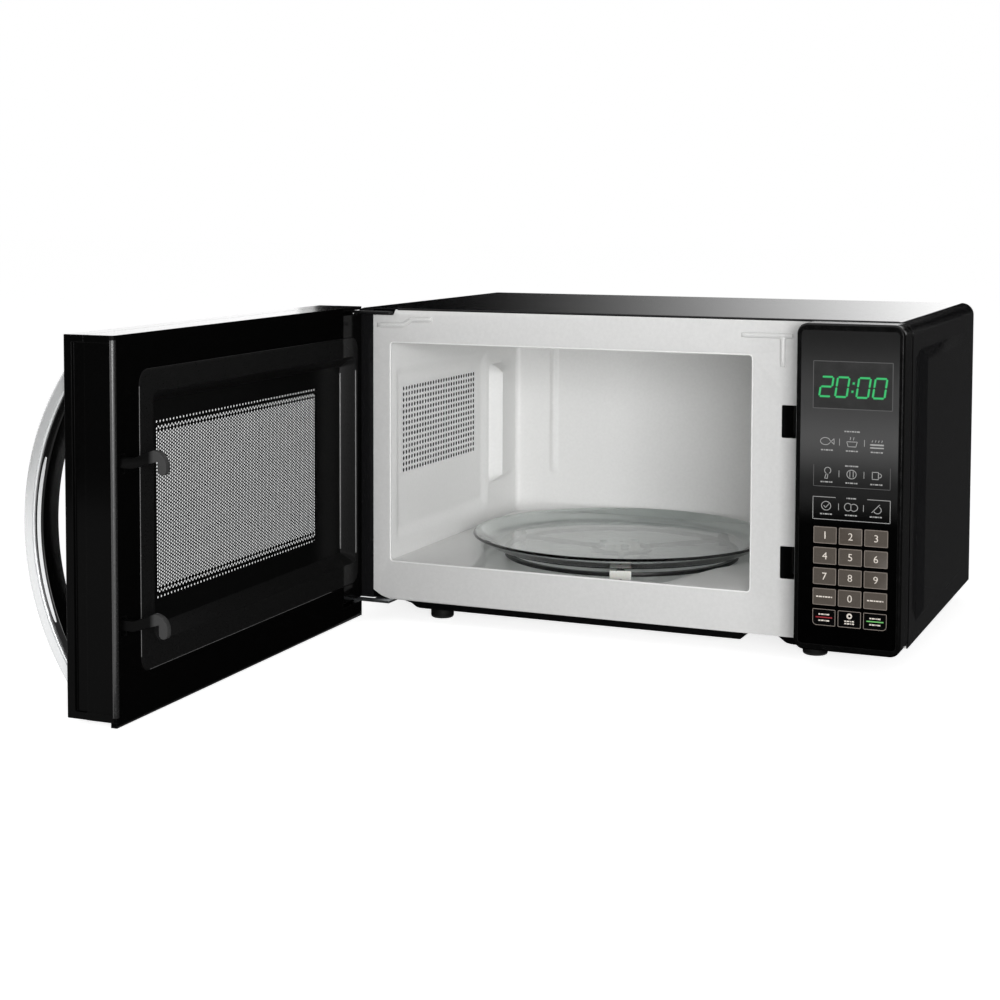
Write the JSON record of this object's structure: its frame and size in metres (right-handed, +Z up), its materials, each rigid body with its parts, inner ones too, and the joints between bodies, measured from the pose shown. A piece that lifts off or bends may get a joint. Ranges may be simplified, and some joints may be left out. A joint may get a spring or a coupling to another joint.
{
  "type": "microwave oven",
  "caption": "Countertop microwave oven with its side-hinged door open, a glass turntable on a roller ring, a keypad panel, a bow handle and a sprung door latch.",
  "frame": {"origin": "on the standing plane under the feet, below the middle of the cabinet's width and depth", "axes": "+X to the right seen from the front, +Y to the back, +Z up"},
  "size_m": [0.5205, 0.6617, 0.2575],
  "materials": {
    "black_painted_steel": "glossy baked paint",
    "zinc_plated_steel": "dull zinc plating",
    "white_painted_steel": "satin baked paint",
    "black_perforated_steel": "satin baked paint",
    "black_plastic": "fine moulded grain",
    "gloss_black_plastic": "polished mould",
    "overlay_film": "gloss film printed from behind",
    "smoked_window": "smoked and polished",
    "smoked_glass": "flat and polished",
    "grey_keys": "satin",
    "black_keys": "gloss",
    "circuit_board": "solder mask",
    "mica": "pressed sheet",
    "laminated_iron": "varnished laminations",
    "drawn_aluminium": "drawn can",
    "white_nylon": "moulded",
    "clear_glass": "pressed and fire polished",
    "silver_plastic": "silver lacquer"
  },
  "bodies": {
    "cabinet": {"base_plate": "black_painted_steel", "cabinet_screws": "zinc_plated_steel", "cavity_box": "white_painted_steel", "control_board": "circuit_board", "control_housing": "gloss_black_plastic", "cord_gland": "black_plastic", "display_window": "smoked_window", "door_switches": "black_plastic", "fan_motor": "laminated_iron", "fan_shroud": "black_plastic", "feet": "black_plastic", "front_plate": "white_painted_steel", "high_voltage_capacitor": "drawn_aluminium", "high_voltage_transformer": "laminated_iron", "keypad_overlay": "overlay_film", "latch_bracket": "black_plastic", "lower_hinge": "zinc_plated_steel", "magnetron": "zinc_plated_steel", "noise_filter": "circuit_board", "outer_cabinet": "black_painted_steel", "oven_lamp": "zinc_plated_steel", "rear_panel": "black_painted_steel", "thermal_cutout": "white_nylon", "turntable_motor": "zinc_plated_steel", "upper_hinge": "black_painted_steel", "waveguide": "zinc_plated_steel", "waveguide_cover": "mica"},
    "door": {"door_frame": "gloss_black_plastic", "door_front": "gloss_black_plastic", "door_window": "smoked_glass", "choke_cover": "black_plastic", "door_screen": "black_perforated_steel", "door_handle": "silver_plastic", "handle_liner": "black_plastic", "latch_spring": "zinc_plated_steel"},
    "latch": {"latch_lever": "black_plastic"},
    "key_1_cap": {"key_1": "grey_keys"},
    "key_2_cap": {"key_2": "grey_keys"},
    "key_3_cap": {"key_3": "grey_keys"},
    "key_4_cap": {"key_4": "grey_keys"},
    "key_5_cap": {"key_5": "grey_keys"},
    "key_6_cap": {"key_6": "grey_keys"},
    "key_7_cap": {"key_7": "grey_keys"},
    "key_8_cap": {"key_8": "grey_keys"},
    "key_9_cap": {"key_9": "grey_keys"},
    "key_power_cap": {"key_power": "grey_keys"},
    "key_0_cap": {"key_0": "grey_keys"},
    "key_preset_cap": {"key_preset": "grey_keys"},
    "key_stop_cap": {"key_stop": "black_keys"},
    "key_clock_cap": {"key_clock": "black_keys"},
    "key_start_cap": {"key_start": "black_keys"},
    "coupler": {"drive_coupler": "white_nylon"},
    "tray": {"glass_tray": "clear_glass"},
    "ring": {"roller_ring": "black_plastic", "roller_carriers": "white_nylon"},
    "wheel_1": {"roller_1": "black_plastic"},
    "wheel_2": {"roller_2": "black_plastic"},
    "wheel_3": {"roller_3": "black_plastic"},
    "fan": {"fan_blade": "black_plastic"}
  },
  "joints": [
    {"name": "door_swing", "type": "hinge", "parent": "cabinet", "child": "door", "pos_m": [-0.2235, -0.147, 0], "axis": [0, 0, -1], "range_deg": [-88.7, 15]},
    {"name": "latch_slide", "type": "slide", "parent": "door", "child": "latch", "axis": [0, 0, 1], "range_m": [-0.003, 0.001], "stiffness_N_per_m": 500, "deforming": ["latch_spring"]},
    {"name": "key_1_press", "type": "slide", "parent": "cabinet", "child": "key_1_cap", "axis": [0, 1, 0], "range_m": [0, 0.0005], "stiffness_N_per_m": 2000},
    {"name": "key_2_press", "type": "slide", "parent": "cabinet", "child": "key_2_cap", "axis": [0, 1, 0], "range_m": [0, 0.0005], "stiffness_N_per_m": 2000},
    {"name": "key_3_press", "type": "slide", "parent": "cabinet", "child": "key_3_cap", "axis": [0, 1, 0], "range_m": [0, 0.0005], "stiffness_N_per_m": 2000},
    {"name": "key_4_press", "type": "slide", "parent": "cabinet", "child": "key_4_cap", "axis": [0, 1, 0], "range_m": [0, 0.0005], "stiffness_N_per_m": 2000},
    {"name": "key_5_press", "type": "slide", "parent": "cabinet", "child": "key_5_cap", "axis": [0, 1, 0], "range_m": [0, 0.0005], "stiffness_N_per_m": 2000},
    {"name": "key_6_press", "type": "slide", "parent": "cabinet", "child": "key_6_cap", "axis": [0, 1, 0], "range_m": [0, 0.0005], "stiffness_N_per_m": 2000},
    {"name": "key_7_press", "type": "slide", "parent": "cabinet", "child": "key_7_cap", "axis": [0, 1, 0], "range_m": [0, 0.0005], "stiffness_N_per_m": 2000},
    {"name": "key_8_press", "type": "slide", "parent": "cabinet", "child": "key_8_cap", "axis": [0, 1, 0], "range_m": [0, 0.0005], "stiffness_N_per_m": 2000},
    {"name": "key_9_press", "type": "slide", "parent": "cabinet", "child": "key_9_cap", "axis": [0, 1, 0], "range_m": [0, 0.0005], "stiffness_N_per_m": 2000},
    {"name": "key_power_press", "type": "slide", "parent": "cabinet", "child": "key_power_cap", "axis": [0, 1, 0], "range_m": [0, 0.0005], "stiffness_N_per_m": 2000},
    {"name": "key_0_press", "type": "slide", "parent": "cabinet", "child": "key_0_cap", "axis": [0, 1, 0], "range_m": [0, 0.0005], "stiffness_N_per_m": 2000},
    {"name": "key_preset_press", "type": "slide", "parent": "cabinet", "child": "key_preset_cap", "axis": [0, 1, 0], "range_m": [0, 0.0005], "stiffness_N_per_m": 2000},
    {"name": "key_stop_press", "type": "slide", "parent": "cabinet", "child": "key_stop_cap", "axis": [0, 1, 0], "range_m": [0, 0.0005], "stiffness_N_per_m": 2000},
    {"name": "key_clock_press", "type": "slide", "parent": "cabinet", "child": "key_clock_cap", "axis": [0, 1, 0], "range_m": [0, 0.0005], "stiffness_N_per_m": 2000},
    {"name": "key_start_press", "type": "slide", "parent": "cabinet", "child": "key_start_cap", "axis": [0, 1, 0], "range_m": [0, 0.0005], "stiffness_N_per_m": 2000},
    {"name": "turntable_spin", "type": "hinge", "parent": "cabinet", "child": "coupler", "pos_m": [-0.0436, 0.002, 0.042], "axis": [0, 0, 1], "continuous": true},
    {"name": "tray_lift", "type": "slide", "parent": "coupler", "child": "tray", "axis": [0, 0, 1], "range_m": [0, 0.03]},
    {"name": "ring_spin", "type": "hinge", "parent": "cabinet", "child": "ring", "pos_m": [-0.0436, 0.002, 0.0422], "axis": [0, 0, 1], "continuous": true},
    {"name": "wheel_1_spin", "type": "hinge", "parent": "ring", "child": "wheel_1", "pos_m": [-0.01081, -0.09601, 0.0422], "axis": [0.3173, -0.9483, 0], "continuous": true},
    {"name": "wheel_2_spin", "type": "hinge", "parent": "ring", "child": "wheel_2", "pos_m": [0.02488, 0.07941, 0.0422], "axis": [0.6626, 0.749, 0], "continuous": true},
    {"name": "wheel_3_spin", "type": "hinge", "parent": "ring", "child": "wheel_3", "pos_m": [-0.14488, 0.02261, 0.0422], "axis": [-0.9799, 0.1994, 0], "continuous": true},
    {"name": "fan_spin", "type": "hinge", "parent": "cabinet", "child": "fan", "pos_m": [0.1672, 0.118, 0.1649], "axis": [0, 1, 0], "continuous": true}
  ],
  "couplings": [
    {"joint": "ring_spin", "follows": "turntable_spin", "ratio": 0.5},
    {"joint": "wheel_1_spin", "follows": "turntable_spin", "ratio": -9.3955},
    {"joint": "wheel_2_spin", "follows": "turntable_spin", "ratio": -9.3955},
    {"joint": "wheel_3_spin", "follows": "turntable_spin", "ratio": -9.3955}
  ]
}
